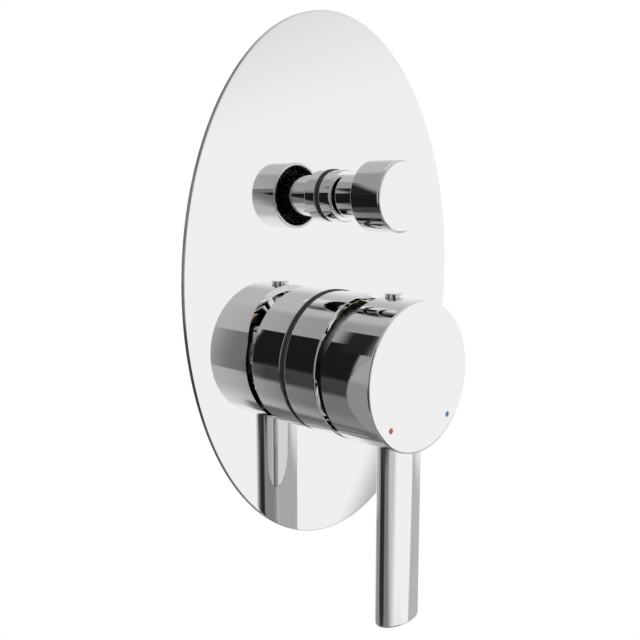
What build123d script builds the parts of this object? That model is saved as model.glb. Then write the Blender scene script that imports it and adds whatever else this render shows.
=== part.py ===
from build123d import *
import os
from math import cos, radians, sin

# Concealed shower mixer in millimetres: wall plane at y = 0, front towards -Y, +Z up.
# The origin is the middle of the oval plate on the wall.

# Cover plate
plate_width = 120.6
plate_height = 169.0
plate_depth = 2.4
plate_sheet = 1.2
plate_edge = 0.3
foam_inset = 2.5
foam_width = 6.0

# Places of the two controls on the plate
lever_drop = 26.9
diverter_rise = 27.3

# Fits and gaps
running_fit = 0.08
thread_fit = 0.1
free_gap = 0.3
hole_gap = 0.4
seat_gap = 0.03

# Sleeve in front of the plate
gasket_thickness = 1.0
gasket_proud = 0.35
sleeve_diameter = 47.2
sleeve_wall = 1.5
sleeve_reach = 14.4
sleeve_thread_length = 4.5
sleeve_edge = 0.4

# Handle, a hollow cap with the oval lever
handle_diameter = 47.2
handle_reach = 36.5
handle_gap = 2.9
handle_relief = 4.8
relief_start = 6.5
handle_wall = 2.0
handle_face = 3.0
handle_edge = 0.8
hub_diameter = 17.0
hub_setback = 13.0
lever_width = 17.8
lever_thickness = 10.0
lever_setback = 8.1
lever_length = 57.0
lever_tip_edge = 0.7
mark_diameter = 1.8
mark_depth = 0.6
mark_circle = 39.2
mark_angle = 45.4
grub_diameter = 5.0
grub_length = 5.0
grub_setback = 10.6
grub_socket_flats = 2.5
grub_socket_depth = 2.5
plug_diameter = 6.2
plug_stem_diameter = 5.2
plug_proud = 1.3
plug_edge = 0.4

# Ceramic-disc cartridge, which fills the chamber inside the neck
cartridge_wall = 2.5
cartridge_shoulder = 2.3
journal_ledge = 3.0
flange_gap = 0.4
base_thickness = 5.0
disc_thickness = 3.5
disc_margin = 1.5
disc_overlap = 2.5
pocket_margin = 3.5
mixing_pocket_depth = 1.8
carrier_thickness = 3.3
carrier_floor = 0.8
tongue_margin = 2.0
tongue_side = 4.0
tongue_height = 2.3
rotor_flange_thickness = 2.9
slot_margin = 5.0
rotor_proud = 3.5
spindle_square = 8.0
spindle_reach = 21.0
spindle_heel = 4.5
spindle_arm = 11.0
spindle_arm_diameter = 5.0
ball_diameter = 6.0
pin_diameter = 3.0
pin_cover = 1.0
port_margin = 1.9
port_diameter = 7.0
seal_width = 1.4
seal_height = 1.1
seal_recess = 0.6
tilt_travel = 16.0

# Cartridge nut and the dome that hides it
pivot_setback = 6.0
neck_setback = 7.5
nut_head = 4.0
nut_gap = 0.35
nut_thread_length = 5.5
dome_gap = 1.1
dome_sheet = 0.8
dome_opening = 29.0

# Diverter
collar_diameter = 16.6
collar_reach = 5.7
collar_edge = 0.5
collar_tail_diameter = 13.0
collar_tail_length = 9.0
stem_diameter = 13.6
stem_groove = 0.8
shank_diameter = 9.0
spigot_diameter = 5.0
knob_diameter = 21.9
knob_reach = 28.5
knob_depth = 11.5
knob_recess = 6.0
knob_rim = 0.9
knob_edge = 0.9
knob_thread_diameter = 8.0
knob_thread_length = 4.0
diverter_travel = 9.0
bonnet_flats = 24.0
bonnet_head = 4.0
bonnet_thread_diameter = 21.0
bonnet_thread_length = 11.5
ring_section = 1.8
ring_setback = 3.0
piston_diameter = 17.2
piston_thickness = 5.4
piston_seal_diameter = 16.0
piston_seal_thickness = 1.5
piston_screw_diameter = 3.0
piston_screw_head = 5.6
piston_screw_length = 4.0

# Valve body in the wall
body_setback = 1.6
neck_gap = 1.6
neck_wall = 2.9
mouth_step = 1.4
barrel_wall = 4.4
floor_thickness = 4.0
chamber_bore = 19.0
chamber_wall = 3.5
rear_passage = 11.0
port_thread_diameter = 18.63
port_thread_length = 13.0
port_wall = 3.2
port_lead = 1.0
port_flats = 27.0
port_corners = 29.8
port_collar = 9.0
port_chamfer = 1.2
inlet_span = 58.0
inlet_passage = 12.0
inlet_wall = 10.0
duct_bore = 10.0
duct_wall = 3.0
outlet_neck = 6.8
lower_outlet_drop = 34.0
pipe_gap = 2.0
lug_pitch = 44.0
lug_hole = 5.5
lug_thickness = 5.0
lug_width = 12.0
lug_setback = 15.0
lug_edge = 1.0
cast_fillet = 2.0
barrel_edge = 3.0

# Places along the lever's axis, worked out from the plate
lever_z = -lever_drop
plate_front = -plate_depth
plate_back = plate_front + plate_sheet
sleeve_back = plate_front - gasket_thickness
sleeve_front = plate_front - sleeve_reach
handle_back = sleeve_front - handle_gap
handle_front = plate_front - handle_reach
handle_inside = handle_front + handle_face
handle_radius = handle_diameter / 2
handle_hollow = handle_radius - handle_wall
lever_y = handle_front + lever_setback
lever_tip = lever_z - handle_radius - lever_length
grub_y = handle_front + grub_setback
pivot_y = sleeve_front + pivot_setback
hub_back = pivot_y - hub_setback
spindle_front = pivot_y - spindle_reach
neck_front = sleeve_front + neck_setback
nut_front = neck_front - nut_head
nut_back = neck_front + nut_thread_length
ball_y = pivot_y + spindle_arm
carrier_back = ball_y + ball_diameter / 2 + free_gap + carrier_floor
carrier_front = carrier_back - carrier_thickness
tongue_front = carrier_front - tongue_height
disc_joint = carrier_back + disc_thickness
fixed_disc_front = disc_joint + seat_gap
base_front = fixed_disc_front + disc_thickness
base_back = base_front + base_thickness
chamber_floor = base_back + seal_height - seal_recess
flange_back = carrier_front - free_gap
flange_front = flange_back - rotor_flange_thickness
rotor_front = pivot_y - rotor_proud
cartridge_front = nut_front + free_gap
disc_rise = spindle_arm * radians(tilt_travel) / 2

# Places along the diverter's axis
diverter_z = diverter_rise
collar_front = plate_front - collar_reach
stem_back = collar_front - stem_groove
knob_front = plate_front - knob_reach
knob_back = knob_front + knob_depth
recess_floor = knob_back - knob_recess
bonnet_front = body_setback
bonnet_shoulder = bonnet_front + bonnet_head
bonnet_back = bonnet_shoulder + bonnet_thread_length
piston_front = bonnet_back + free_gap + diverter_travel + piston_seal_thickness
piston_back = piston_front + piston_thickness
rear_seat = piston_back + piston_seal_thickness + free_gap
collar_tail_back = sleeve_back + collar_tail_length
stem_ring_y = bonnet_shoulder + ring_setback
bonnet_ring_y = bonnet_back - ring_setback

# From the sleeve's bore inwards: nut, neck of the body, chamber and the cartridge in it
sleeve_bore = sleeve_diameter / 2 - sleeve_wall
nut_corner = sleeve_bore - nut_gap
neck_radius = sleeve_bore - neck_gap
chamber_radius = neck_radius - neck_wall
mouth_radius = chamber_radius + mouth_step
cartridge_radius = chamber_radius - thread_fit
cartridge_neck = cartridge_radius - cartridge_shoulder
cartridge_bore = cartridge_radius - cartridge_wall
journal_radius = cartridge_bore - journal_ledge
flange_radius = cartridge_bore - flange_gap
fixed_disc_radius = cartridge_bore - disc_margin
moving_disc_radius = fixed_disc_radius - disc_overlap
tongue_length = 2 * (moving_disc_radius - tongue_margin)
tongue_width = 2 * (moving_disc_radius - tongue_side)
port_circle = 2 * (fixed_disc_radius - port_margin) - port_diameter
dome_radius = min(sleeve_bore, handle_hollow) - dome_gap

# Valve body
barrel_radius = chamber_radius + barrel_wall
barrel_back = chamber_floor + floor_thickness
inlet_y = barrel_back + inlet_passage / 2
duct_radius = duct_bore / 2 + duct_wall
upper_y = bonnet_back + duct_bore / 2
lower_face = lever_z - lower_outlet_drop
boss_radius = port_thread_diameter / 2 + port_wall
boss_length = port_thread_length + port_wall
chamber_outer = chamber_bore / 2 + chamber_wall
chamber_back = rear_seat + chamber_wall
upper_face = diverter_z + chamber_outer + outlet_neck + boss_length
duct_y = max(inlet_y + boss_radius, chamber_back) + pipe_gap + duct_radius


def bar(radius, start, end):
    """Round bar between two points."""
    line = Vector(*end) - Vector(*start)
    grow = (Align.CENTER, Align.CENTER, Align.MIN)
    return Plane(origin=start, z_dir=line) * Cylinder(radius, line.length, align=grow)


def rod(radius, back, front, height, x=0.0):
    """Round bar parallel to Y at a height, from y = back to y = front."""
    return bar(radius, (x, back, height), (x, front, height))


def turned(height, *outline):
    """Solid turned about the axis parallel to Y at a height; outline points are (radius, y)."""
    face = make_face(Polyline(*outline, close=True))
    return Pos(0, 0, height) * revolve(face, Axis.Y)


def ring(outer, inner, back, front, height):
    """Flat ring on an axis parallel to Y."""
    return turned(height, (inner, back), (outer, back), (outer, front), (inner, front))


def facing(y, height):
    """Sketch plane that looks to the front: local x is X, local y is Z."""
    return Plane(origin=(0, y, height), x_dir=(1, 0, 0), z_dir=(0, -1, 0))


def block(width, back, front, low, high):
    """Box centred on x = 0."""
    size = Box(width, abs(back - front), high - low)
    return Pos(0, (back + front) / 2, (low + high) / 2) * size


def around(radius, angle):
    """Point on a circle in the plate's plane, as (x, z)."""
    return radius * cos(radians(angle)), radius * sin(radians(angle))


def cover_plate():
    sheet = Ellipse(plate_width / 2, plate_height / 2)
    plate = facing(plate_back, 0) * extrude(sheet, plate_sheet)
    plate = fillet(plate.faces().sort_by(Axis.Y)[0].edges(), plate_edge)
    plate -= rod(neck_radius + hole_gap, plate_back, plate_front, lever_z)
    return plate - rod(collar_tail_diameter / 2 + hole_gap, plate_back, plate_front, diverter_z)


def plate_gasket():
    inner = foam_inset + foam_width
    loop = Ellipse(plate_width / 2 - foam_inset, plate_height / 2 - foam_inset)
    loop -= Ellipse(plate_width / 2 - inner, plate_height / 2 - inner)
    return facing(0, 0) * extrude(loop, -plate_back)


def sleeve_gasket():
    outer = sleeve_diameter / 2 + gasket_proud
    return ring(outer, neck_radius + thread_fit, plate_front, sleeve_back, lever_z)


def lever_sleeve():
    outer = sleeve_diameter / 2
    thread = neck_radius + thread_fit
    step = sleeve_back - sleeve_thread_length
    return turned(
        lever_z,
        (thread, sleeve_back),
        (outer - sleeve_edge, sleeve_back),
        (outer, sleeve_back - sleeve_edge),
        (outer, sleeve_front + sleeve_edge),
        (outer - sleeve_edge, sleeve_front),
        (sleeve_bore, sleeve_front),
        (sleeve_bore, step),
        (thread, step),
    )


def lever_bar():
    """Oval bar from inside the cap's wall down to the tip."""
    section = Ellipse(lever_width / 2, lever_thickness / 2)
    top = lever_z - handle_hollow / 2
    bar_solid = Pos(0, lever_y, lever_tip) * extrude(section, top - lever_tip)
    return fillet(bar_solid.faces().sort_by(Axis.Z)[0].edges(), lever_tip_edge)


def lever_handle():
    cap = turned(
        lever_z,
        (0, handle_back),
        (handle_radius, handle_back),
        (handle_radius, handle_front + handle_edge),
        (handle_radius - handle_edge, handle_front),
        (0, handle_front),
    )
    cap += lever_bar()
    cap -= rod(handle_hollow, handle_back, handle_inside, lever_z)
    cap += rod(hub_diameter / 2, hub_back, handle_inside, lever_z)
    # The upper part of the rear edge slopes forward, which leaves room for the tilt.
    start, top = lever_z + relief_start, lever_z + handle_radius
    slope = make_face(
        Polyline(
            (handle_back, start),
            (handle_back - handle_relief, top),
            (handle_back, top),
            close=True,
        )
    )
    cap -= extrude(Plane.YZ * slope, handle_diameter, both=True)
    socket = spindle_square + 2 * thread_fit
    cap -= block(
        socket, hub_back, spindle_front - free_gap, lever_z - socket / 2, lever_z + socket / 2
    )
    screw_top = lever_z + hub_diameter
    cap -= bar(grub_diameter / 2 + thread_fit, (0, grub_y, lever_z), (0, grub_y, screw_top))
    wall_top = lever_z + handle_diameter
    cap -= bar(plug_stem_diameter / 2 + thread_fit, (0, grub_y, screw_top), (0, grub_y, wall_top))
    for side in (-1, 1):
        x, z = mark_place(side)
        cap -= rod(mark_diameter / 2 + seat_gap, handle_front + mark_depth, handle_front - mark_depth, z, x)
    return cap


def mark_place(side):
    x, z = around(mark_circle / 2, mark_angle)
    return side * x, lever_z - z


def mark(side):
    x, z = mark_place(side)
    return rod(mark_diameter / 2, handle_front + mark_depth, handle_front, z, x)


def grub_screw():
    low = lever_z + spindle_square / 2 + seat_gap
    high = low + grub_length
    screw = bar(grub_diameter / 2, (0, grub_y, low), (0, grub_y, high))
    key = RegularPolygon(grub_socket_flats / 2, 6, major_radius=False)
    return screw - Pos(0, grub_y, high) * extrude(key, -grub_socket_depth)


def grub_screw_cover():
    seat = lever_z + handle_radius
    head = bar(plug_diameter / 2, (0, grub_y, seat), (0, grub_y, seat + plug_proud))
    head = fillet(head.faces().sort_by(Axis.Z)[-1].edges(), plug_edge)
    return head + bar(plug_stem_diameter / 2, (0, grub_y, seat - handle_wall), (0, grub_y, seat))


def cartridge_ports():
    return [around(port_circle / 2, angle) for angle in (90, 210, 330)]


def cartridge_base():
    base = rod(cartridge_radius, base_back, base_front, lever_z)
    for x, z in cartridge_ports():
        base -= rod(port_diameter / 2, base_back, base_front, lever_z + z, x)
        recess = port_diameter / 2 + seal_width
        base -= rod(recess, base_back, base_back - seal_recess, lever_z + z, x)
    return base


def cartridge_seals():
    seals = []
    front = chamber_floor - seal_height
    for x, z in cartridge_ports():
        seal = rod(port_diameter / 2 + seal_width, chamber_floor, front, lever_z + z, x)
        seals.append(seal - rod(port_diameter / 2, chamber_floor, front, lever_z + z, x))
    return Compound(children=seals)


def cartridge_housing():
    ledge = flange_front - seat_gap
    return turned(
        lever_z,
        (cartridge_bore, base_front),
        (cartridge_radius, base_front),
        (cartridge_radius, nut_back),
        (cartridge_neck, nut_back),
        (cartridge_neck, cartridge_front),
        (journal_radius, cartridge_front),
        (journal_radius, ledge),
        (cartridge_bore, ledge),
    )


def fixed_disc():
    disc = rod(fixed_disc_radius, base_front, fixed_disc_front, lever_z)
    for x, z in cartridge_ports():
        disc -= rod(port_diameter / 2, base_front, fixed_disc_front, lever_z + z, x)
    return disc


def moving_disc():
    height = lever_z + disc_rise
    disc = rod(moving_disc_radius, disc_joint, carrier_back, height)
    pocket = moving_disc_radius - pocket_margin
    return disc - rod(pocket, disc_joint, disc_joint - mixing_pocket_depth, height)


def disc_carrier():
    height = lever_z + disc_rise
    carrier = rod(moving_disc_radius, carrier_back, carrier_front, height)
    half = tongue_length / 2
    carrier += block(tongue_width, carrier_front, tongue_front, height - half, height + half)
    return carrier - rod(ball_diameter / 2 + free_gap, carrier_back - carrier_floor, tongue_front, lever_z)


def cartridge_rotor():
    journal = journal_radius - running_fit
    rotor = turned(
        lever_z,
        (0, flange_back),
        (flange_radius, flange_back),
        (flange_radius, flange_front),
        (journal, flange_front),
        (journal, rotor_front),
        (0, rotor_front),
    )
    half = journal_radius - slot_margin
    slot = spindle_square + free_gap
    rotor -= block(slot, flange_back, rotor_front, lever_z - half, lever_z + half)
    groove = tongue_width + free_gap
    rotor -= block(
        groove, flange_back, tongue_front - free_gap, lever_z - flange_radius, lever_z + flange_radius
    )
    reach = journal_radius - pin_cover
    hole = pin_diameter / 2 + seat_gap
    return rotor - bar(hole, (-reach, pivot_y, lever_z), (reach, pivot_y, lever_z))


def pivot_pin():
    reach = journal_radius - pin_cover - seat_gap
    return bar(pin_diameter / 2, (-reach, pivot_y, lever_z), (reach, pivot_y, lever_z))


def cartridge_spindle():
    half = spindle_square / 2
    spindle = block(spindle_square, pivot_y + spindle_heel, spindle_front, lever_z - half, lever_z + half)
    spindle += rod(spindle_arm_diameter / 2, pivot_y, ball_y, lever_z)
    spindle += Pos(0, ball_y, lever_z) * Sphere(ball_diameter / 2)
    hole = pin_diameter / 2 + running_fit
    return spindle - bar(hole, (-half, pivot_y, lever_z), (half, pivot_y, lever_z))


def cartridge_nut():
    hexagon = RegularPolygon(nut_corner, 6)
    nut = facing(neck_front, lever_z) * extrude(hexagon, nut_head)
    nut += rod(mouth_radius - thread_fit, nut_back, neck_front, lever_z)
    return nut - rod(cartridge_neck + thread_fit, nut_back, nut_front, lever_z)


def dome_cover():
    dome = facing(pivot_y, lever_z) * (Sphere(dome_radius) - Sphere(dome_radius - dome_sheet))
    dome &= rod(dome_radius, nut_front, pivot_y - dome_radius, lever_z)
    return dome - rod(dome_opening / 2, nut_front, pivot_y - dome_radius, lever_z)


def collar_gasket():
    outer = collar_diameter / 2 + gasket_proud
    return ring(outer, collar_tail_diameter / 2 + seat_gap, plate_front, sleeve_back, diverter_z)


def diverter_collar():
    outer, tail = collar_diameter / 2, collar_tail_diameter / 2
    bore = shank_diameter / 2 + running_fit
    return turned(
        diverter_z,
        (bore, collar_tail_back),
        (tail, collar_tail_back),
        (tail, sleeve_back),
        (outer, sleeve_back),
        (outer, collar_front + collar_edge),
        (outer - collar_edge, collar_front),
        (bore, collar_front),
    )


def diverter_stem():
    stem, shank = stem_diameter / 2, shank_diameter / 2
    spigot, thread = spigot_diameter / 2, knob_thread_diameter / 2
    return turned(
        diverter_z,
        (0, piston_back - piston_screw_length),
        (piston_screw_diameter / 2, piston_back - piston_screw_length),
        (piston_screw_diameter / 2, piston_back),
        (spigot, piston_back),
        (spigot, piston_front),
        (shank, piston_front),
        (shank, stem_back),
        (stem, stem_back),
        (stem, recess_floor),
        (thread, recess_floor),
        (thread, recess_floor - knob_thread_length),
        (0, recess_floor - knob_thread_length),
    )


def diverter_knob():
    outer = knob_diameter / 2
    hollow = outer - knob_rim
    thread = knob_thread_diameter / 2 + thread_fit
    thread_end = recess_floor - knob_thread_length - thread_fit
    return turned(
        diverter_z,
        (hollow, knob_back),
        (outer, knob_back),
        (outer, knob_front + knob_edge),
        (outer - knob_edge, knob_front),
        (0, knob_front),
        (0, thread_end),
        (thread, thread_end),
        (thread, recess_floor),
        (hollow, recess_floor),
    )


def diverter_bonnet():
    hexagon = RegularPolygon(bonnet_flats / 2, 6, major_radius=False)
    bonnet = facing(bonnet_shoulder, diverter_z) * extrude(hexagon, bonnet_head)
    outer = bonnet_thread_diameter / 2
    bonnet += rod(outer, bonnet_back, bonnet_shoulder, diverter_z)
    bonnet -= rod(shank_diameter / 2 + running_fit, bonnet_back, bonnet_front, diverter_z)
    bonnet -= rod(
        collar_tail_diameter / 2 + thread_fit, collar_tail_back + thread_fit, bonnet_front, diverter_z
    )
    half = ring_section / 2 + thread_fit
    inner_groove = shank_diameter / 2 + running_fit + ring_section
    bonnet -= rod(inner_groove, stem_ring_y + half, stem_ring_y - half, diverter_z)
    return bonnet - ring(
        outer, outer - ring_section, bonnet_ring_y + half, bonnet_ring_y - half, diverter_z
    )


def rubber_ring(radius, y):
    """Round-section ring on the diverter's axis; radius is to the middle of the section."""
    return facing(y, diverter_z) * Torus(radius, ring_section / 2 - seat_gap)


def stem_o_ring():
    return rubber_ring(shank_diameter / 2 + running_fit + ring_section / 2, stem_ring_y)


def bonnet_o_ring():
    return rubber_ring(bonnet_thread_diameter / 2 - ring_section / 2, bonnet_ring_y)


def diverter_piston():
    hole = spigot_diameter / 2 + seat_gap
    return ring(piston_diameter / 2, hole, piston_back, piston_front, diverter_z)


def piston_seals():
    outer = piston_seal_diameter / 2
    front = ring(
        outer, shank_diameter / 2 + seat_gap, piston_front, piston_front - piston_seal_thickness, diverter_z
    )
    rear = ring(
        outer, piston_screw_head / 2 + free_gap, piston_back + piston_seal_thickness, piston_back, diverter_z
    )
    return Compound(children=[front, rear])


def piston_screw():
    shaft = piston_screw_diameter / 2 - seat_gap
    start = piston_back - piston_screw_length + free_gap
    screw = rod(shaft, piston_back, start, diverter_z)
    head = rod(piston_screw_head / 2, piston_back + piston_seal_thickness, piston_back, diverter_z)
    return screw + head


def port_cut(face, outward):
    """Threaded port with a short lead-in at its face."""
    mouth, out = Vector(*face), Vector(*outward)
    radius = port_thread_diameter / 2
    grow = (Align.CENTER, Align.CENTER, Align.MIN)
    lead = Cone(radius, radius + port_lead, port_lead, align=grow)
    lead = Plane(origin=mouth - out * port_lead, z_dir=out) * lead
    return bar(radius, mouth, mouth - out * port_thread_length) + lead


def port_end(face, outward):
    """Hexagon for a spanner at the end of a port, with turned corners."""
    plane = Plane(origin=face, z_dir=outward)
    hexagon = plane * extrude(RegularPolygon(port_flats / 2, 6, major_radius=False), -port_collar)
    grow = (Align.CENTER, Align.CENTER, Align.MAX)
    collar = Cylinder(port_corners / 2, port_collar, align=grow)
    collar = chamfer(collar.edges().filter_by(GeomType.CIRCLE), port_chamfer)
    return hexagon & (plane * collar)


def cast_on(body, piece, radius):
    """Union of two castings with a fillet along their seam."""
    whole = body + piece
    return fillet(new_edges(body, piece, combined=whole), radius)


def rear_rounded(solid, radius):
    """Round bar with its rear edge rounded."""
    return fillet(solid.edges().filter_by(GeomType.CIRCLE).sort_by(Axis.Y)[-1], radius)


def body_casting():
    # Lever barrel with the inlets across its back
    half_span = inlet_span / 2
    lower = rear_rounded(rod(barrel_radius, barrel_back, body_setback, lever_z), barrel_edge)
    inlets = bar(boss_radius, (-half_span, inlet_y, lever_z), (half_span, inlet_y, lever_z))
    lower = cast_on(lower, inlets, cast_fillet)
    # Diverter barrel with the duct of the mixed water below and the neck of the upper outlet above
    upper = rear_rounded(rod(chamber_outer, chamber_back, bonnet_shoulder, diverter_z), cast_fillet)
    duct = bar(duct_radius, (0, inlet_y, diverter_z), (0, inlet_y, lever_z))
    neck = bar(duct_radius, (0, upper_y, diverter_z), (0, upper_y, upper_face))
    upper = cast_on(upper, duct, cast_fillet)
    upper = cast_on(upper, neck, cast_fillet)
    slot = SlotCenterToCenter(lug_pitch, lug_width)
    lugs = facing(lug_setback, diverter_z) * extrude(slot, lug_thickness)
    lugs = fillet(lugs.faces().filter_by(Axis.Y).edges(), lug_edge)
    upper = cast_on(upper, lugs, lug_edge)
    # Elbow and pipe of the lower outlet behind them, then the bosses of both outlets
    elbow = rod(duct_radius, duct_y, rear_seat, diverter_z)
    elbow += Pos(0, duct_y, diverter_z) * Sphere(duct_radius)
    elbow += bar(duct_radius, (0, duct_y, diverter_z), (0, duct_y, lower_face))
    upper = cast_on(upper, elbow, cast_fillet)
    upper_boss = bar(boss_radius, (0, upper_y, upper_face - boss_length), (0, upper_y, upper_face))
    lower_boss = bar(boss_radius, (0, duct_y, lower_face + boss_length), (0, duct_y, lower_face))
    upper = cast_on(upper, upper_boss, cast_fillet)
    upper = cast_on(upper, lower_boss, cast_fillet)
    body = lower + upper + rod(neck_radius, chamber_floor, neck_front, lever_z)
    for face, outward in ports():
        body += port_end(face, outward)
    return body


def ports():
    """Middle of each port's face and the direction it looks in."""
    half_span = inlet_span / 2
    return [
        ((-half_span, inlet_y, lever_z), (-1, 0, 0)),
        ((half_span, inlet_y, lever_z), (1, 0, 0)),
        ((0, upper_y, upper_face), (0, 0, 1)),
        ((0, duct_y, lower_face), (0, 0, -1)),
    ]


def valve_body():
    body = body_casting()
    for face, outward in ports():
        body -= port_cut(face, outward)

    # Cartridge chamber, its mouth for the nut, and the ports through its floor
    body -= rod(chamber_radius, chamber_floor, neck_front, lever_z)
    body -= rod(mouth_radius, nut_back, neck_front, lever_z)
    for x, z in cartridge_ports():
        body -= rod(port_diameter / 2, inlet_y, chamber_floor, lever_z + z, x)

    # Passages of the inlets and of the mixed water to the diverter
    for side in (-1, 1):
        near, far = side * inlet_wall / 2, side * inlet_span / 2
        body -= bar(inlet_passage / 2, (near, inlet_y, lever_z), (far, inlet_y, lever_z))
    body -= bar(duct_bore / 2, (0, inlet_y, lever_z + port_circle / 2), (0, inlet_y, diverter_z))

    # Diverter chamber, passages to the outlets and lug holes
    bonnet_bore = bonnet_thread_diameter / 2 + thread_fit
    body -= rod(bonnet_bore, bonnet_back + thread_fit, bonnet_shoulder, diverter_z)
    body -= rod(chamber_bore / 2, rear_seat, bonnet_shoulder, diverter_z)
    body -= rod(rear_passage / 2, duct_y, rear_seat, diverter_z)
    body -= bar(duct_bore / 2, (0, upper_y, diverter_z), (0, upper_y, upper_face))
    body -= bar(duct_bore / 2, (0, duct_y, diverter_z), (0, duct_y, lower_face))
    for side in (-1, 1):
        x = side * lug_pitch / 2
        body -= rod(lug_hole / 2, lug_setback, lug_setback - lug_thickness, diverter_z, x)
    return body


pieces = {
    "valve_body": valve_body(),
    "cover_plate": cover_plate(),
    "plate_gasket": plate_gasket(),
    "sleeve_gasket": sleeve_gasket(),
    "lever_sleeve": lever_sleeve(),
    "cartridge_base": cartridge_base(),
    "cartridge_seals": cartridge_seals(),
    "cartridge_housing": cartridge_housing(),
    "fixed_disc": fixed_disc(),
    "cartridge_nut": cartridge_nut(),
    "dome_cover": dome_cover(),
    "cartridge_rotor": cartridge_rotor(),
    "pivot_pin": pivot_pin(),
    "moving_disc": moving_disc(),
    "disc_carrier": disc_carrier(),
    "cartridge_spindle": cartridge_spindle(),
    "lever_handle": lever_handle(),
    "hot_mark": mark(-1),
    "cold_mark": mark(1),
    "grub_screw": grub_screw(),
    "grub_screw_cover": grub_screw_cover(),
    "collar_gasket": collar_gasket(),
    "diverter_collar": diverter_collar(),
    "diverter_bonnet": diverter_bonnet(),
    "bonnet_o_ring": bonnet_o_ring(),
    "stem_o_ring": stem_o_ring(),
    "diverter_stem": diverter_stem(),
    "diverter_knob": diverter_knob(),
    "diverter_piston": diverter_piston(),
    "piston_seals": piston_seals(),
    "piston_screw": piston_screw(),
}

os.makedirs("parts", exist_ok=True)
for name, piece in pieces.items():
    export_step(piece, f"parts/{name}.step")
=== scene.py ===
from math import acos, asin, cos, hypot, pi, radians, sin

import bmesh
import bpy
from mathutils import Matrix, Vector


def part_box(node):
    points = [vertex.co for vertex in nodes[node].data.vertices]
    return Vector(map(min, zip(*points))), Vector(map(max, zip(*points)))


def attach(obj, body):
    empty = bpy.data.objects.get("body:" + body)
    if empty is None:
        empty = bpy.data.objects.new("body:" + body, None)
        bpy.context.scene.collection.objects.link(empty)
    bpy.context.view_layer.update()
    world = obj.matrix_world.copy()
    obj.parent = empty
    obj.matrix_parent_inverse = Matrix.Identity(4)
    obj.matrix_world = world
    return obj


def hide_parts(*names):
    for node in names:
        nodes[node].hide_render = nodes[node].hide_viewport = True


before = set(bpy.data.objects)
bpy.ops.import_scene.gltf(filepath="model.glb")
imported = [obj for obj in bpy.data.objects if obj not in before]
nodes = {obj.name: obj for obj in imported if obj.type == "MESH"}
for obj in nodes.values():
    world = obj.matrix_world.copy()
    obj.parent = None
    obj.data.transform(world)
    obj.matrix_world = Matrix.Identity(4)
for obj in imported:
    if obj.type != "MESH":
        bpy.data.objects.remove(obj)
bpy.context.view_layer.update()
scene = bpy.context.scene
scene.view_settings.view_transform = "Standard"
mm = 0.001
print("frame loaded,", len(nodes), "nodes")


# shader helpers
numberSocket = "NodeSocketFloat"


def newMaterial(name):
    material = bpy.data.materials.new(name)
    material.use_nodes = True
    tree = material.node_tree
    return material, tree, tree.nodes["Principled BSDF"]


def addNode(tree, kind, **values):
    node = tree.nodes.new(kind)
    for key, value in values.items():
        setattr(node, key, value)
    return node


def objectPoint(tree):
    return addNode(tree, "ShaderNodeTexCoord").outputs["Object"]


def noiseAt(tree, point, scale, detail):
    noise = addNode(tree, "ShaderNodeTexNoise")
    noise.inputs["Detail"].default_value = detail
    tree.links.new(point, noise.inputs["Vector"])
    tree.links.new(scale, noise.inputs["Scale"])
    return noise


def remap(tree, value, low, high, fromLow=0.0, fromHigh=1.0):
    node = addNode(tree, "ShaderNodeMapRange")
    node.inputs["From Min"].default_value = fromLow
    node.inputs["From Max"].default_value = fromHigh
    node.inputs["To Min"].default_value = low
    node.inputs["To Max"].default_value = high
    tree.links.new(value, node.inputs["Value"])
    return node.outputs["Result"]


def blendColours(tree, mask, first, second):
    node = addNode(tree, "ShaderNodeMix", data_type="RGBA")
    node.inputs["A"].default_value = (*first, 1)
    node.inputs["B"].default_value = (*second, 1)
    tree.links.new(mask, node.inputs["Factor"])
    return node.outputs["Result"]


def bumpFrom(tree, height, strength, distance):
    bump = addNode(tree, "ShaderNodeBump")
    bump.inputs["Strength"].default_value = strength
    bump.inputs["Distance"].default_value = distance
    tree.links.new(height, bump.inputs["Height"])
    return bump.outputs["Normal"]


def mixShaders(tree, mask, first, second):
    mix = addNode(tree, "ShaderNodeMixShader")
    tree.links.new(mask, mix.inputs["Fac"])
    tree.links.new(first.outputs[0], mix.inputs[1])
    tree.links.new(second.outputs[0], mix.inputs[2])
    return mix


def newGroup(name, inputs, outputs):
    group = bpy.data.node_groups.new(name, "ShaderNodeTree")
    for label, value in inputs:
        socket = group.interface.new_socket(label, in_out="INPUT", socket_type=numberSocket)
        socket.default_value = value
    for label in outputs:
        group.interface.new_socket(label, in_out="OUTPUT", socket_type=numberSocket)
    start = group.nodes.new("NodeGroupInput")
    end = group.nodes.new("NodeGroupOutput")
    return group, start.outputs, end.inputs


def placeGroup(tree, group, values):
    node = addNode(tree, "ShaderNodeGroup", node_tree=group)
    for key, value in values.items():
        node.inputs[key].default_value = value
    return node.outputs


# polish: soft patches of wiping haze and the faint waviness that buffing leaves
polishSet = {
    "low": 0.02, "high": 0.05, "scale": 40.0,
    "hazeDetail": 4.0, "hazeFrom": 0.3, "hazeTo": 0.7, "waveDetail": 1.0,
}


def makePolishGroup():
    group, given, out = newGroup(
        "buffedPolish",
        [("Low", polishSet["low"]), ("High", polishSet["high"]), ("Scale", polishSet["scale"])],
        ["Roughness", "Height"],
    )
    point = objectPoint(group)
    haze = noiseAt(group, point, given["Scale"], polishSet["hazeDetail"])
    spread = addNode(group, "ShaderNodeMapRange")
    spread.inputs["From Min"].default_value = polishSet["hazeFrom"]
    spread.inputs["From Max"].default_value = polishSet["hazeTo"]
    group.links.new(haze.outputs["Fac"], spread.inputs["Value"])
    group.links.new(given["Low"], spread.inputs["To Min"])
    group.links.new(given["High"], spread.inputs["To Max"])
    group.links.new(spread.outputs["Result"], out["Roughness"])
    wave = noiseAt(group, point, given["Scale"], polishSet["waveDetail"])
    group.links.new(wave.outputs["Fac"], out["Height"])
    return group


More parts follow.
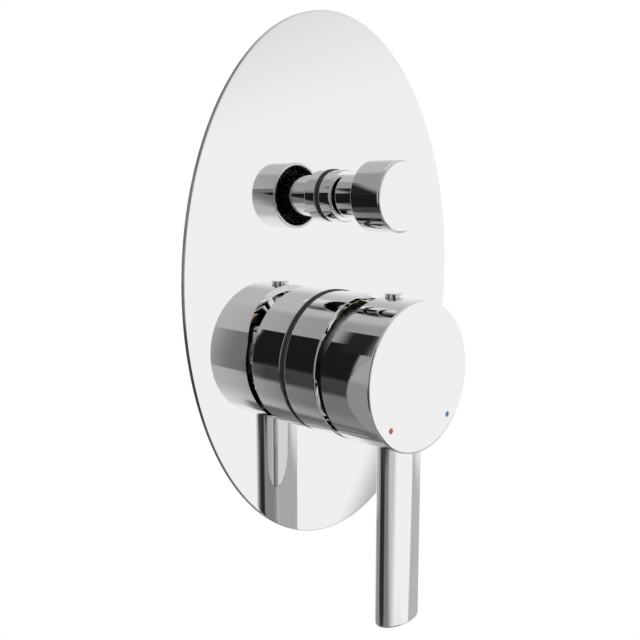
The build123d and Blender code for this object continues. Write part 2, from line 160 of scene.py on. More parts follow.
# grain: fine bumps of a sand casting or a moulding, with a blotch mask for the colour and a pit mask that the foam
# uses for painted shade in its pores
grainSet = {
    "scale": 900.0, "blotchScale": 60.0, "detail": 5.0, "roughness": 0.6,
    "blotchDetail": 6.0, "blotchFrom": 0.35, "blotchTo": 0.68, "pitReach": 0.35,
}


def makeGrainGroup():
    group, given, out = newGroup(
        "castGrain",
        [("Scale", grainSet["scale"]), ("Blotch Scale", grainSet["blotchScale"])],
        ["Height", "Blotch", "Pits"],
    )
    point = objectPoint(group)
    grain = noiseAt(group, point, given["Scale"], grainSet["detail"])
    grain.inputs["Roughness"].default_value = grainSet["roughness"]
    group.links.new(grain.outputs["Fac"], out["Height"])
    blotch = noiseAt(group, point, given["Blotch Scale"], grainSet["blotchDetail"])
    mask = remap(group, blotch.outputs["Fac"], 0.0, 1.0, grainSet["blotchFrom"], grainSet["blotchTo"])
    group.links.new(mask, out["Blotch"])
    pits = addNode(group, "ShaderNodeTexVoronoi")
    group.links.new(point, pits.inputs["Vector"])
    group.links.new(given["Scale"], pits.inputs["Scale"])
    group.links.new(remap(group, pits.outputs["Distance"], 1.0, 0.0, 0.0, grainSet["pitReach"]), out["Pits"])
    return group


polishGroup = makePolishGroup()
grainGroup = makeGrainGroup()

# finishes
chromeSet = {
    "colour": (0.86, 0.86, 0.86), "scale": 35.0, "bump": 0.02, "depth": 0.001,
    "mirror": (0.015, 0.04), "satin": (0.2, 0.32),
}
mouldSet = {"metal": 0.0, "scale": 1600.0, "blotch": 90.0, "bump": 0.25, "depth": 0.0002}
brassSet = {"metal": 1.0, "blotch": 55.0, "depth": 0.0004}
steelSet = {"metal": 1.0, "scale": 2500.0, "blotch": 200.0, "bump": 0.1}
steelRough = (0.22, 0.36)
enamelSet = {"scale": 900.0, "bump": 0.05}
enamelRough = (0.18, 0.3)
# grey foam; its darker grey is painted shade in the pores
foamSet = {
    "light": (0.33, 0.34, 0.35), "dark": (0.16, 0.165, 0.17), "rough": (0.85, 0.97),
    "scale": 1400.0, "blotch": 120.0, "bump": 0.6, "depth": -0.0004,
}


def makeChrome(name, low, high):
    material, tree, shader = newMaterial(name)
    shader.inputs["Base Color"].default_value = (*chromeSet["colour"], 1)
    shader.inputs["Metallic"].default_value = 1.0
    polish = placeGroup(tree, polishGroup, {"Low": low, "High": high, "Scale": chromeSet["scale"]})
    tree.links.new(polish["Roughness"], shader.inputs["Roughness"])
    normal = bumpFrom(tree, polish["Height"], chromeSet["bump"], chromeSet["depth"])
    tree.links.new(normal, shader.inputs["Normal"])
    return material


# own changes the moulded look that every grained finish starts from
def makeGrained(name, light, dark, rough, own=None):
    look = {**mouldSet, **(own or {})}
    material, tree, shader = newMaterial(name)
    shader.inputs["Metallic"].default_value = look["metal"]
    grain = placeGroup(tree, grainGroup, {"Scale": look["scale"], "Blotch Scale": look["blotch"]})
    tree.links.new(blendColours(tree, grain["Blotch"], light, dark), shader.inputs["Base Color"])
    tree.links.new(remap(tree, grain["Blotch"], *rough), shader.inputs["Roughness"])
    tree.links.new(bumpFrom(tree, grain["Height"], look["bump"], look["depth"]), shader.inputs["Normal"])
    return material


def makeFoam(name):
    material, tree, shader = newMaterial(name)
    grain = placeGroup(tree, grainGroup, {"Scale": foamSet["scale"], "Blotch Scale": foamSet["blotch"]})
    # the pores take the darker grey: painted shade in the pores
    colour = blendColours(tree, grain["Pits"], foamSet["light"], foamSet["dark"])
    tree.links.new(colour, shader.inputs["Base Color"])
    tree.links.new(remap(tree, grain["Blotch"], *foamSet["rough"]), shader.inputs["Roughness"])
    tree.links.new(bumpFrom(tree, grain["Pits"], foamSet["bump"], foamSet["depth"]), shader.inputs["Normal"])
    return material


finishes = {
    "polished_chrome": makeChrome("polishedChrome", *chromeSet["mirror"]),
    "cast_brass": makeGrained(
        "castBrass", (0.72, 0.52, 0.24), (0.5, 0.34, 0.15), (0.38, 0.58),
        {**brassSet, "scale": 900.0, "bump": 0.5},
    ),
    "bright_brass": makeGrained(
        "machinedBrass", (0.86, 0.66, 0.32), (0.74, 0.54, 0.25), (0.16, 0.28),
        {**brassSet, "scale": 2500.0, "bump": 0.12},
    ),
    "cartridge_plastic": makeGrained("greyCartridge", (0.36, 0.38, 0.4), (0.3, 0.32, 0.34), (0.38, 0.5)),
    "rotor_plastic": makeGrained("whiteRotor", (0.78, 0.77, 0.74), (0.7, 0.69, 0.66), (0.35, 0.48)),
    "white_ceramic": makeGrained(
        "aluminaCeramic", (0.86, 0.85, 0.82), (0.8, 0.79, 0.76), (0.12, 0.24), {"scale": 2400.0, "bump": 0.06},
    ),
    "black_rubber": makeGrained("blackRubber", (0.022, 0.022, 0.023), (0.035, 0.035, 0.036), (0.5, 0.68)),
    "grey_foam": makeFoam("greyFoam"),
    "plain_steel": makeGrained("plainSteel", (0.6, 0.6, 0.61), (0.48, 0.48, 0.5), steelRough, steelSet),
    "red_enamel": makeGrained("redEnamel", (0.42, 0.07, 0.06), (0.36, 0.055, 0.05), enamelRough, enamelSet),
    "blue_enamel": makeGrained("blueEnamel", (0.07, 0.17, 0.34), (0.06, 0.14, 0.29), enamelRough, enamelSet),
}
satinChrome = makeChrome("satinChrome", *chromeSet["satin"])
# a darker copy of the plain steel for the plate's cut edge: painted shade along the plate's side walls
shadedCutEdge = makeGrained("shadedCutEdge", (0.2, 0.2, 0.21), (0.15, 0.15, 0.16), steelRough, steelSet)
for node in nodes.values():
    for slot in node.material_slots:
        slot.material = finishes[slot.material.name]
print("finishes made,", len(finishes))


# mesh helpers
touch = 1e-6  # corners this near lie on an edge, in metres
mergeGap = 1e-8
sharpAngle = 35
turnSteps = 192


# spins a closed outline of (radius, y) corners, and soft gives its bevels by corner
def turned(profile, height, steps, soft=None):
    bm = bmesh.new()
    corners = [bm.verts.new((radius, y, height)) for radius, y in profile]
    edges = [bm.edges.new(pair) for pair in zip(corners, corners[1:] + corners[:1])]
    bmesh.ops.spin(
        bm, geom=corners + edges, cent=(0, 0, height), axis=(0, 1, 0), angle=2 * pi, steps=steps, use_merge=True,
    )
    bmesh.ops.remove_doubles(bm, verts=bm.verts, dist=mergeGap)
    bmesh.ops.recalc_face_normals(bm, faces=bm.faces)
    for corner, width in (soft or {}).items():
        radius, y = profile[corner]

        def onCorner(v):
            return abs(hypot(v.co.x, v.co.z - height) - radius) < touch and abs(v.co.y - y) < touch

        softenEdges(bm, onCorner, width)
    return bm


def softenEdges(bm, onEdge, width, segments=6):
    chosen = [edge for edge in bm.edges if onEdge(edge.verts[0]) and onEdge(edge.verts[1])]
    bmesh.ops.bevel(
        bm, geom=chosen, offset=width, offset_type="OFFSET", segments=segments,
        profile=0.5, affect="EDGES", clamp_overlap=True, material=-1,
    )


def newVerts(made):
    return [item for item in made["geom"] if isinstance(item, bmesh.types.BMVert)]


def asObject(bm, name):
    mesh = bpy.data.meshes.new(name)
    bm.to_mesh(mesh)
    bm.free()
    piece = bpy.data.objects.new(name, mesh)
    scene.collection.objects.link(piece)
    return piece


def carve(piece, tool, operation):
    cut = piece.modifiers.new("carve", "BOOLEAN")
    cut.operation = operation
    cut.solver = "EXACT"
    cut.object = tool
    graph = bpy.context.evaluated_depsgraph_get()
    mesh = bpy.data.meshes.new_from_object(piece.evaluated_get(graph))
    piece.modifiers.clear()
    piece.data = mesh
    bpy.data.objects.remove(tool)


def dressPiece(piece, body, slot):
    mesh = piece.data
    mesh.materials.clear()
    mesh.materials.append(finishes[slot])
    mesh.polygons.foreach_set("use_smooth", [True] * len(mesh.polygons))
    mesh.set_sharp_from_angle(angle=radians(sharpAngle))
    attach(piece, body)
    print("piece", piece.name, len(mesh.polygons), "faces")


def finishPiece(piece, body, node, slot):
    dressPiece(piece, body, slot)
    shade = piece.modifiers.new("flatFaces", "WEIGHTED_NORMAL")
    shade.keep_sharp = True
    shade.weight = 100
    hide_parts(node)


def axisOf(node):
    low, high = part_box(node)
    return (low + high) / 2


# cover plate: flat oval sheet with a finely rounded front edge and two holes
plateSet = {
    "edge": 0.3 * mm, "band": 1.0 * mm, "cutSlope": 0.2, "rimTouch": 1e-4, "rimSteps": 256,
    "leverHole": 20.9 * mm, "leverSteps": 128, "diverterHole": 6.9 * mm, "diverterSteps": 64,
}


def ovalLoop(bm, halfWide, halfHigh, centre, steps):
    made = bmesh.ops.create_circle(bm, cap_ends=False, radius=1.0, segments=steps)["verts"]
    bmesh.ops.scale(bm, vec=(halfWide, halfHigh, 1), verts=made)
    bmesh.ops.rotate(bm, cent=(0, 0, 0), matrix=Matrix.Rotation(pi / 2, 3, "X"), verts=made)
    bmesh.ops.translate(bm, vec=centre, verts=made)
    return [edge for edge in bm.edges if edge.verts[0] in made and edge.verts[1] in made]


def makePlate():
    low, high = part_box("cover_plate")
    halfWide, halfHigh = (high.x - low.x) / 2, (high.z - low.z) / 2
    band, steps = plateSet["band"], plateSet["rimSteps"]
    bm = bmesh.new()
    outer = ovalLoop(bm, halfWide, halfHigh, (0, high.y, 0), steps)
    inner = ovalLoop(bm, halfWide - band, halfHigh - band, (0, high.y, 0), steps)
    bmesh.ops.bridge_loops(bm, edges=outer + inner)
    holes = []
    for name, cover in (("lever", "lever_sleeve"), ("diverter", "diverter_collar")):
        radius = plateSet[name + "Hole"]
        holes += ovalLoop(bm, radius, radius, (0, high.y, axisOf(cover).z), plateSet[name + "Steps"])
    bmesh.ops.triangle_fill(bm, use_beauty=True, edges=inner + holes)
    front = bmesh.ops.extrude_face_region(bm, geom=list(bm.faces), use_keep_orig=True)
    bmesh.ops.translate(bm, vec=(0, low.y - high.y, 0), verts=newVerts(front))
    bmesh.ops.recalc_face_normals(bm, faces=bm.faces)

    def onRim(v):
        onOval = abs((v.co.x / halfWide) ** 2 + (v.co.z / halfHigh) ** 2 - 1) < plateSet["rimTouch"]
        return onOval and abs(v.co.y - low.y) < touch

    softenEdges(bm, onRim, plateSet["edge"])
    plate = asObject(bm, "plateSheet")
    finishPiece(plate, "wall_unit", "cover_plate", "polished_chrome")
    # the side walls take the darker steel copy, painted shade along the edge
    plate.data.materials.append(shadedCutEdge)
    for face in plate.data.polygons:
        face.material_index = 1 if abs(face.normal.y) < plateSet["cutSlope"] else 0


makePlate()


# sleeve in front of the plate
sleeveSet = {"wall": 1.5 * mm, "threadLength": 4.5 * mm, "threadRadius": 20.6 * mm, "edge": 0.4 * mm}


def makeSleeve():
    low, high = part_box("lever_sleeve")
    outer = (high.x - low.x) / 2
    inner = outer - sleeveSet["wall"]
    step = high.y - sleeveSet["threadLength"]
    outline = [
        (sleeveSet["threadRadius"], high.y), (outer, high.y), (outer, low.y),
        (inner, low.y), (inner, step), (sleeveSet["threadRadius"], step),
    ]
    edge = sleeveSet["edge"]
    bm = turned(outline, axisOf("lever_sleeve").z, turnSteps, {1: edge, 2: edge, 3: edge / 2})
    finishPiece(asObject(bm, "sleeveTube"), "wall_unit", "lever_sleeve", "polished_chrome")


makeSleeve()


# dome over the cartridge nut, seen through the gap behind the handle
domeSet = {"sheet": 0.8 * mm, "radius": 20.5 * mm, "opening": 14.5 * mm, "arcSteps": 24}


def makeDome():
    low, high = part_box("dome_cover")
    height = axisOf("dome_cover").z
    radius = domeSet["radius"]
    centre = low.y + (radius ** 2 - domeSet["opening"] ** 2) ** 0.5
    bm = bmesh.new()
    start = bm.verts.new((domeSet["opening"], low.y, height))
    sweep = acos(domeSet["opening"] / radius) - asin((centre - high.y) / radius)
    bmesh.ops.spin(
        bm, geom=[start], cent=(0, centre, height), axis=(0, 0, 1), angle=sweep,
        steps=domeSet["arcSteps"], use_merge=False,
    )
    bmesh.ops.spin(
        bm, geom=list(bm.verts) + list(bm.edges), cent=(0, 0, height), axis=(0, 1, 0), angle=2 * pi,
        steps=turnSteps, use_merge=True,
    )
    bmesh.ops.remove_doubles(bm, verts=bm.verts, dist=mergeGap)
    bmesh.ops.recalc_face_normals(bm, faces=bm.faces)
    bmesh.ops.solidify(bm, geom=list(bm.faces), thickness=domeSet["sheet"])
    bmesh.ops.recalc_face_normals(bm, faces=bm.faces)
    dome = asObject(bm, "nutDome")
    finishPiece(dome, "wall_unit", "dome_cover", "polished_chrome")
    dome.data.materials[0] = satinChrome


makeDome()


# handle: hollow cap with the oval lever, one casting
handleSet = {
    "wall": 2.0 * mm, "face": 3.0 * mm, "edge": 0.8 * mm, "relief": 4.8 * mm, "reliefStart": 6.5 * mm,
    "hubRadius": 8.5 * mm, "hubBack": -23.8 * mm, "socket": 8.2 * mm, "socketFloor": -32.1 * mm,
    "leverWidth": 17.8 * mm, "leverThick": 10.0 * mm, "leverSetback": 8.1 * mm, "tipEdge": 0.7 * mm,
    "markRadius": 0.93 * mm, "markDepth": 0.6 * mm, "markOver": 1.0 * mm, "overcut": 0.1,
    "capSteps": 256, "roomSteps": 192, "leverSteps": 128, "markSteps": 48,
}


def makeLeverBar(top, tip, y):
    bm = bmesh.new()
    bmesh.ops.create_circle(bm, cap_ends=True, radius=1.0, segments=handleSet["leverSteps"])
    bmesh.ops.scale(bm, vec=(handleSet["leverWidth"] / 2, handleSet["leverThick"] / 2, 1), verts=bm.verts)
    bmesh.ops.translate(bm, vec=(0, y, tip), verts=bm.verts)
    raised = bmesh.ops.extrude_face_region(bm, geom=list(bm.faces), use_keep_orig=True)
    bmesh.ops.translate(bm, vec=(0, 0, top - tip), verts=newVerts(raised))
    bmesh.ops.recalc_face_normals(bm, faces=bm.faces)
    softenEdges(bm, lambda v: abs(v.co.z - tip) < touch, handleSet["tipEdge"])
    return asObject(bm, "leverBar")


def blockTool(low, high):
    bm = bmesh.new()
    bmesh.ops.create_cube(bm, size=1.0)
    bmesh.ops.scale(bm, vec=[b - a for a, b in zip(low, high)], verts=bm.verts)
    bmesh.ops.translate(bm, vec=[(a + b) / 2 for a, b in zip(low, high)], verts=bm.verts)
    return asObject(bm, "blockTool")


def slopeTool(outline, halfWidth):
    bm = bmesh.new()
    side = bm.faces.new([bm.verts.new((-halfWidth, y, z)) for y, z in outline])
    wide = bmesh.ops.extrude_face_region(bm, geom=[side], use_keep_orig=True)
    bmesh.ops.translate(bm, vec=(2 * halfWidth, 0, 0), verts=newVerts(wide))
    bmesh.ops.recalc_face_normals(bm, faces=bm.faces)
    return asObject(bm, "slopeTool")


def makeHandle():
    low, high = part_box("lever_handle")
    height = axisOf("lever_sleeve").z
    radius = (high.x - low.x) / 2
    front, back, tip = low.y, high.y, low.z
    inside = front + handleSet["face"]
    past = back + handleSet["wall"]
    hollow = radius - handleSet["wall"]
    outline = [(0, front), (radius, front), (radius, back), (0, back)]
    cap = asObject(turned(outline, height, handleSet["capSteps"], {1: handleSet["edge"]}), "handleCasting")
    carve(cap, makeLeverBar(height - hollow / 2, tip, front + handleSet["leverSetback"]), "UNION")
    room = [
        (0, past), (0, handleSet["hubBack"]), (handleSet["hubRadius"], handleSet["hubBack"]),
        (handleSet["hubRadius"], inside), (hollow, inside), (hollow, past),
    ]
    carve(cap, asObject(turned(room, height, handleSet["roomSteps"]), "capRoom"), "DIFFERENCE")
    # the upper part of the rear edge slopes forward
    start, top = height + handleSet["reliefStart"], height + radius
    relief, spare = handleSet["relief"], radius * handleSet["overcut"]
    rise = (past - back) * (top - start) / relief
    over = spare / (top - start) * relief
    slope = [(past, start - rise), (back - relief - over, top + spare), (past, top + spare)]
    carve(cap, slopeTool(slope, 2 * radius), "DIFFERENCE")
    half = handleSet["socket"] / 2
    socket = blockTool((-half, handleSet["socketFloor"], height - half), (half, past, height + half))
    carve(cap, socket, "DIFFERENCE")
    for mark in ("hot_mark", "cold_mark"):
        place = axisOf(mark)
        wide, above, floor = handleSet["markRadius"], front - handleSet["markOver"], front + handleSet["markDepth"]
        pit = [(0, above), (wide, above), (wide, floor), (0, floor)]
        tool = turned(pit, place.z, handleSet["markSteps"])
        bmesh.ops.translate(tool, vec=(place.x, 0, 0), verts=tool.verts)
        carve(cap, asObject(tool, "markTool"), "DIFFERENCE")
    finishPiece(cap, "handle", "lever_handle", "polished_chrome")


makeHandle()


# small round cover over the grub screw, on top of the cap
coverSet = {"edge": 0.4 * mm, "stem": 2.6 * mm, "stemLength": 2.0 * mm, "steps": 96}


def makeCover():
    low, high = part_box("grub_screw_cover")
    middle = axisOf("grub_screw_cover")
    radius = (high.x - low.x) / 2
    seat = low.z + coverSet["stemLength"]
    outline = [
        (0, low.z), (coverSet["stem"], low.z), (coverSet["stem"], seat),
        (radius, seat), (radius, high.z), (0, high.z),
    ]
    bm = turned(outline, 0, coverSet["steps"], {4: coverSet["edge"]})
    bmesh.ops.rotate(bm, cent=(0, 0, 0), matrix=Matrix.Rotation(pi / 2, 3, "X"), verts=bm.verts)
    bmesh.ops.translate(bm, vec=(middle.x, middle.y, 0), verts=bm.verts)
    finishPiece(asObject(bm, "screwCover"), "handle", "grub_screw_cover", "polished_chrome")


makeCover()


# diverter: collar on the plate, stem and pull knob
diverterSet = {
    "steps": 160, "collarEdge": 0.5 * mm, "tailRadius": 6.5 * mm,
    "shankRadius": 4.5 * mm, "shankGap": 0.08 * mm, "stemEdge": 0.4 * mm, "stemStep": 0.8 * mm,
    "threadRadius": 4.0 * mm, "threadLength": 4.0 * mm, "threadGap": 0.1 * mm,
    "spigotRadius": 2.5 * mm, "screwRadius": 1.5 * mm, "screwLength": 4.0 * mm,
    "knobEdge": 0.9 * mm, "knobRim": 0.9 * mm, "knobRecess": 6.0 * mm, "lipEdge": 0.25 * mm,
    # thickness and depth of the black sheet that paints shade into the knob's recess
    "recessShadeSheet": 0.3 * mm, "recessShadeDepth": 0.4 * mm,
}


def makeCollar():
    low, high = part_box("diverter_collar")
    outer = (high.x - low.x) / 2
    bore = diverterSet["shankRadius"] + diverterSet["shankGap"]
    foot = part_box("collar_gasket")[0].y
    outline = [
        (bore, high.y), (diverterSet["tailRadius"], high.y), (diverterSet["tailRadius"], foot),
        (outer, foot), (outer, low.y), (bore, low.y),
    ]
    edge = diverterSet["collarEdge"]
    bm = turned(outline, axisOf("diverter_collar").z, diverterSet["steps"], {3: edge / 2, 4: edge})
    finishPiece(asObject(bm, "stemCollar"), "wall_unit", "diverter_collar", "polished_chrome")


def makeStem():
    low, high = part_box("diverter_stem")
    outer = (high.x - low.x) / 2
    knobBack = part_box("diverter_knob")[1].y
    floor = knobBack - diverterSet["knobRecess"]
    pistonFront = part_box("diverter_piston")[0].y
    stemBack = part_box("diverter_collar")[0].y - diverterSet["stemStep"]
    bottom = high.y - diverterSet["screwLength"]
    parts = ("screw", "spigot", "shank", "thread")
    screw, spigot, shank, thread = (diverterSet[part + "Radius"] for part in parts)
    outline = [
        (0, bottom), (screw, bottom), (screw, high.y), (spigot, high.y), (spigot, pistonFront),
        (shank, pistonFront), (shank, stemBack), (outer, stemBack), (outer, floor),
        (thread, floor), (thread, low.y), (0, low.y),
    ]
    bm = turned(outline, axisOf("diverter_stem").z, diverterSet["steps"], {7: diverterSet["stemEdge"]})
    finishPiece(asObject(bm, "pullStem"), "diverter", "diverter_stem", "polished_chrome")


def makeKnob():
    low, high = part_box("diverter_knob")
    outer = (high.x - low.x) / 2
    hollow = outer - diverterSet["knobRim"]
    floor = high.y - diverterSet["knobRecess"]
    thread = diverterSet["threadRadius"] + diverterSet["threadGap"]
    threadEnd = floor - diverterSet["threadLength"] - diverterSet["threadGap"]
    outline = [
        (0, low.y), (outer, low.y), (outer, high.y), (hollow, high.y), (hollow, floor),
        (thread, floor), (thread, threadEnd), (0, threadEnd),
    ]
    soft = {1: diverterSet["knobEdge"], 2: diverterSet["lipEdge"], 3: diverterSet["lipEdge"]}
    bm = turned(outline, axisOf("diverter_knob").z, diverterSet["steps"], soft)
    finishPiece(asObject(bm, "pullKnob"), "diverter", "diverter_knob", "polished_chrome")


# rubber rings under sleeve and collar, which sit a little high in their seats
ringSet = {"lift": 0.3 * mm, "edge": 0.2 * mm, "sleeveBore": 20.9 * mm, "collarBore": 6.85 * mm}


def makeRing(name, node, cover, bore):
    low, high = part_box(node)
    coverLow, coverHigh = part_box(cover)
    outer = (coverHigh.x - coverLow.x) / 2
    outline = [(bore, high.y), (outer, high.y), (outer, low.y), (bore, low.y)]
    soft = {1: ringSet["edge"], 2: ringSet["edge"]}
    bm = turned(outline, axisOf(node).z + ringSet["lift"], turnSteps, soft)
    finishPiece(asObject(bm, name), "wall_unit", node, "black_rubber")


makeRing("sleeveRing", "sleeve_gasket", "lever_sleeve", ringSet["sleeveBore"])
makeRing("collarRing", "collar_gasket", "diverter_collar", ringSet["collarBore"])


# thin black sheet in the hollow back of the knob: painted shade that darkens the recess
def makeRecessShade():
    low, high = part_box("diverter_knob")
    outer = (high.x - low.x) / 2 - diverterSet["knobRim"]
    stemLow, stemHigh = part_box("diverter_stem")
    inner = (stemHigh.x - stemLow.x) / 2
    floor, mouth = high.y - diverterSet["knobRecess"], high.y - diverterSet["recessShadeDepth"]
    sheet = diverterSet["recessShadeSheet"]
    outline = [
        (inner, floor), (outer, floor), (outer, mouth),
        (outer - sheet, mouth), (outer - sheet, floor + sheet), (inner, floor + sheet),
    ]
    bm = turned(outline, axisOf("diverter_knob").z, diverterSet["steps"])
    dressPiece(asObject(bm, "knobRecessShade"), "diverter", "black_rubber")


makeCollar()
makeStem()
makeKnob()
makeRecessShade()
print("pieces made")


# camera at the photograph's angle
cameraSet = {
    "turn": 45.29, "drop": 8.72, "target": (-4.12, 0.0, -13.01), "distance": 280.96,
    "lens": 48.12, "sensor": 36.0, "nearest": 0.01,
}


def makeCamera():
    turn, drop = radians(cameraSet["turn"]), radians(cameraSet["drop"])
    forward = Vector((sin(turn) * cos(drop), cos(turn) * cos(drop), -sin(drop)))
    target = Vector(cameraSet["target"]) * mm
    data = bpy.data.cameras.new("camera")
    data.sensor_width = cameraSet["sensor"]
    data.lens = cameraSet["lens"]
    data.clip_start = cameraSet["nearest"]
    camera = bpy.data.objects.new("camera", data)
    camera.location = target - forward * cameraSet["distance"] * mm
    camera.rotation_euler = forward.to_track_quat("-Z", "Y").to_euler()
    scene.collection.objects.link(camera)
    scene.camera = camera


makeCamera()


# studio: white surround, pale floor, wall board, a light tent for the metal to mirror and soft lamps
studioSet = {"ambient": 0.55, "size": 4.0, "floorHeight": -0.6, "floorColour": 0.85, "floorRough": 0.9}
wallSet = {"place": 0.5 * mm, "size": 4.0}


def pathMask(tree):
    path = addNode(tree, "ShaderNodeLightPath").outputs
    seen = addNode(tree, "ShaderNodeMath", operation="MAXIMUM")
    tree.links.new(path["Is Camera Ray"], seen.inputs[0])
    tree.links.new(path["Is Glossy Ray"], seen.inputs[1])
    both = addNode(tree, "ShaderNodeMath", operation="MAXIMUM")
    tree.links.new(seen.outputs[0], both.inputs[0])
    tree.links.new(path["Is Transmission Ray"], both.inputs[1])
    return both.outputs[0]


def makeWorld():
    world = bpy.data.worlds.new("studio")
    scene.world = world
    world.use_nodes = True
    tree = world.node_tree
    seen = tree.nodes["Background"]
    ambient = addNode(tree, "ShaderNodeBackground")
    for background, strength in ((seen, 1.0), (ambient, studioSet["ambient"])):
        background.inputs["Color"].default_value = (1, 1, 1, 1)
        background.inputs["Strength"].default_value = strength
    mix = mixShaders(tree, pathMask(tree), ambient, seen)
    tree.links.new(mix.outputs[0], tree.nodes["World Output"].inputs["Surface"])


def stageGrid(name, size, turn, place):
    bm = bmesh.new()
    bmesh.ops.create_grid(bm, x_segments=1, y_segments=1, size=size)
    bmesh.ops.rotate(bm, cent=(0, 0, 0), matrix=Matrix.Rotation(turn, 3, "X"), verts=bm.verts)
    bmesh.ops.translate(bm, vec=place, verts=bm.verts)
    return asObject(bm, name)


def makeFloor():
    floor = stageGrid("studioFloor", studioSet["size"], 0, (0, 0, studioSet["floorHeight"]))
    material, tree, paint = newMaterial("paleFloor")
    paint.inputs["Base Color"].default_value = (*[studioSet["floorColour"]] * 3, 1)
    paint.inputs["Roughness"].default_value = studioSet["floorRough"]
    mix = mixShaders(tree, pathMask(tree), paint, addNode(tree, "ShaderNodeEmission"))
    tree.links.new(mix.outputs[0], tree.nodes["Material Output"].inputs["Surface"])
    floor.data.materials.append(material)


# the casting sits behind this white board, which is seen from the front only
def makeWall():
    wall = stageGrid("wallBoard", wallSet["size"], pi / 2, (0, wallSet["place"], 0))
    material, tree, _ = newMaterial("whiteWall")
    behind = addNode(tree, "ShaderNodeNewGeometry").outputs["Backfacing"]
    glow, clear = addNode(tree, "ShaderNodeEmission"), addNode(tree, "ShaderNodeBsdfTransparent")
    mix = mixShaders(tree, behind, glow, clear)
    tree.links.new(mix.outputs[0], tree.nodes["Material Output"].inputs["Surface"])
    wall.data.materials.append(material)
    wall.visible_diffuse = False
    wall.visible_glossy = False
    wall.visible_shadow = False


makeWorld()
makeFloor()
makeWall()


# light tent that only the metal mirrors: a white shell with soft patches, each by its turn about the plate's
# normal, from the viewer's right over the top, and its spread from that normal
tentSet = {
    "radius": 0.4, "middle": (0, 0, -20 * mm), "base": "ShaderNodeEmission",
    "patches": [
        # turn from and to, spread from and to, softness of turn and spread, shade
        ("top", 38.1, 256.9, 0, 98.1, 20, 10, 0.607),
        ("leftFront", 99.9, 289.9, 41.6, 200, 6, 8, 0.395),
        ("leftHigh", 92.4, 207.1, 129.6, 200, 6.9, 4, 1.000),
        ("backLow", 189.8, 270.5, 50.7, 200, 5.9, 0.4, 0.289),
        ("underLens", 178.3, 251.1, 45.4, 72.2, 8.5, 4.9, 0.223),
        ("lensRim", 147.3, 211.9, 38.5, 47.1, 0.4, 2.5, 0.208),
        ("tableEdge", 268.4, 295, 41.9, 124.3, 4, 0.8, 0.174),
        ("rightTable", 291.5, 336.8, 54.7, 200, 4, 1.5, 0.513),
        ("darkCorner", 193.3, 221.8, 68.7, 115, 3.8, 5, 0.029),
    ],
}
shellSteps = 48
# black flags that stand nearer, on a clear shell
flagSet = {
    "radius": 0.125, "middle": (0, -20 * mm, -20 * mm), "base": "ShaderNodeBsdfTransparent",
    "patches": [
        ("nearSide", 141.5, 194, 50.1, 72.8, 0.4, 0.4, 0.013),
        ("nearTop", 121.9, 153, 67.2, 75.1, 0.6, 2, 0.021),
        ("nearLow", 192.5, 214.7, 51.2, 88.4, 4, 4, 0.060),
    ],
}


def linkMath(tree, operation, first, second=0.0):
    node = addNode(tree, "ShaderNodeMath", operation=operation)
    for socket, value in zip(node.inputs, (first, second)):
        if isinstance(value, (int, float)):
            socket.default_value = value
        else:
            tree.links.new(value, socket)
    return node.outputs[0]


def makePatchGroup():
    names = ["Turn", "Spread", "Turn From", "Turn To", "Spread From", "Spread To", "Turn Soft", "Spread Soft"]
    group, given, out = newGroup("softPatch", [(name, 0.0) for name in names], ["Mask"])
    mask = 1.0
    for angle in ("Turn", "Spread"):
        for edge, sign in ((" From", 1.0), (" To", -1.0)):
            step = addNode(group, "ShaderNodeMapRange", interpolation_type="SMOOTHSTEP")
            past = linkMath(group, "SUBTRACT", given[angle], given[angle + edge])
            group.links.new(past, step.inputs["Value"])
            reach = linkMath(group, "MULTIPLY", given[angle + " Soft"], sign)
            group.links.new(linkMath(group, "MULTIPLY", reach, -1.0), step.inputs["From Min"])
            group.links.new(reach, step.inputs["From Max"])
            mask = linkMath(group, "MULTIPLY", step.outputs["Result"], mask)
    group.links.new(mask, out["Mask"])
    return group


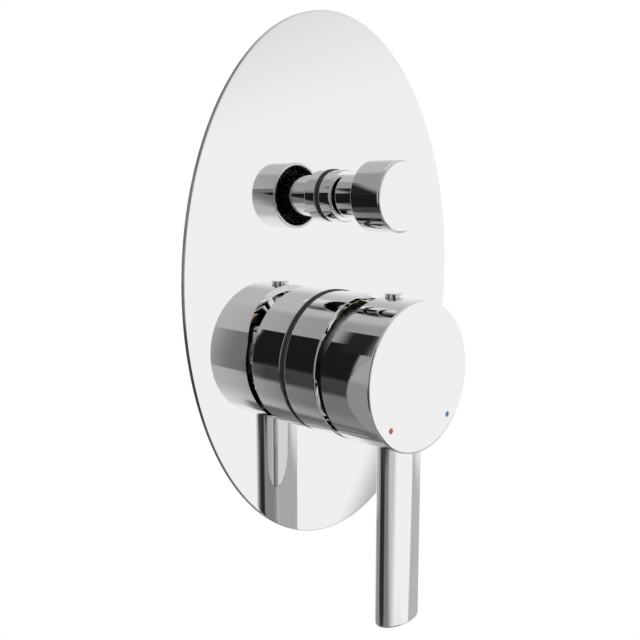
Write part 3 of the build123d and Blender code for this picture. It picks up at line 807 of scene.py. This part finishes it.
def shellAngles(tree, middle):
    centred = addNode(tree, "ShaderNodeVectorMath", operation="SUBTRACT")
    tree.links.new(objectPoint(tree), centred.inputs[0])
    centred.inputs[1].default_value = middle
    split = addNode(tree, "ShaderNodeSeparateXYZ")
    tree.links.new(centred.outputs[0], split.inputs[0])
    x, y, z = split.outputs
    around = linkMath(tree, "FLOORED_MODULO", linkMath(tree, "ARCTAN2", z, x), 2 * pi)
    squares = [linkMath(tree, "MULTIPLY", side, side) for side in (x, z)]
    across = linkMath(tree, "SQRT", linkMath(tree, "ADD", *squares))
    spread = linkMath(tree, "ARCTAN2", across, linkMath(tree, "MULTIPLY", y, -1.0))
    return linkMath(tree, "DEGREES", around), linkMath(tree, "DEGREES", spread)


def makeShell(name, settings, patchGroup):
    bm = bmesh.new()
    bmesh.ops.create_uvsphere(
        bm, u_segments=2 * shellSteps, v_segments=shellSteps, radius=settings["radius"],
    )
    bmesh.ops.translate(bm, vec=settings["middle"], verts=bm.verts)
    shell = asObject(bm, name)
    material, tree, _ = newMaterial(name + "Cloth")
    turn, spread = shellAngles(tree, settings["middle"])
    shader = addNode(tree, settings["base"])
    for label, *numbers, shade in settings["patches"]:
        patch = addNode(tree, "ShaderNodeGroup", node_tree=patchGroup, label=label)
        tree.links.new(turn, patch.inputs["Turn"])
        tree.links.new(spread, patch.inputs["Spread"])
        for socket, number in zip(patch.inputs[2:], numbers):
            socket.default_value = number
        glow = addNode(tree, "ShaderNodeEmission")
        glow.inputs["Strength"].default_value = shade
        shader = mixShaders(tree, patch.outputs["Mask"], shader, glow)
    tree.links.new(shader.outputs[0], tree.nodes["Material Output"].inputs["Surface"])
    shell.data.materials.append(material)
    shell.visible_camera = False
    shell.visible_diffuse = False
    shell.visible_shadow = False
    shell.visible_transmission = False


patchGroup = makePatchGroup()
makeShell("lightTent", tentSet, patchGroup)
makeShell("blackFlags", flagSet, patchGroup)


# lamps: name, place, size, power
lampSet = [
    ("keyLamp", (-0.5, -0.7, 0.8), 0.6, 9.0),
    ("fillLamp", (0.9, -0.7, 0.3), 0.8, 5.0),
]


def makeLamp(name, place, size, power):
    data = bpy.data.lights.new(name, "AREA")
    data.shape = "SQUARE"
    data.size = size
    data.energy = power
    lamp = bpy.data.objects.new(name, data)
    lamp.location = place
    lamp.rotation_euler = (-Vector(place)).to_track_quat("-Z", "Y").to_euler()
    lamp.visible_glossy = False
    scene.collection.objects.link(lamp)


for lamp in lampSet:
    makeLamp(*lamp)
print("studio set")

bpy.context.view_layer.update()
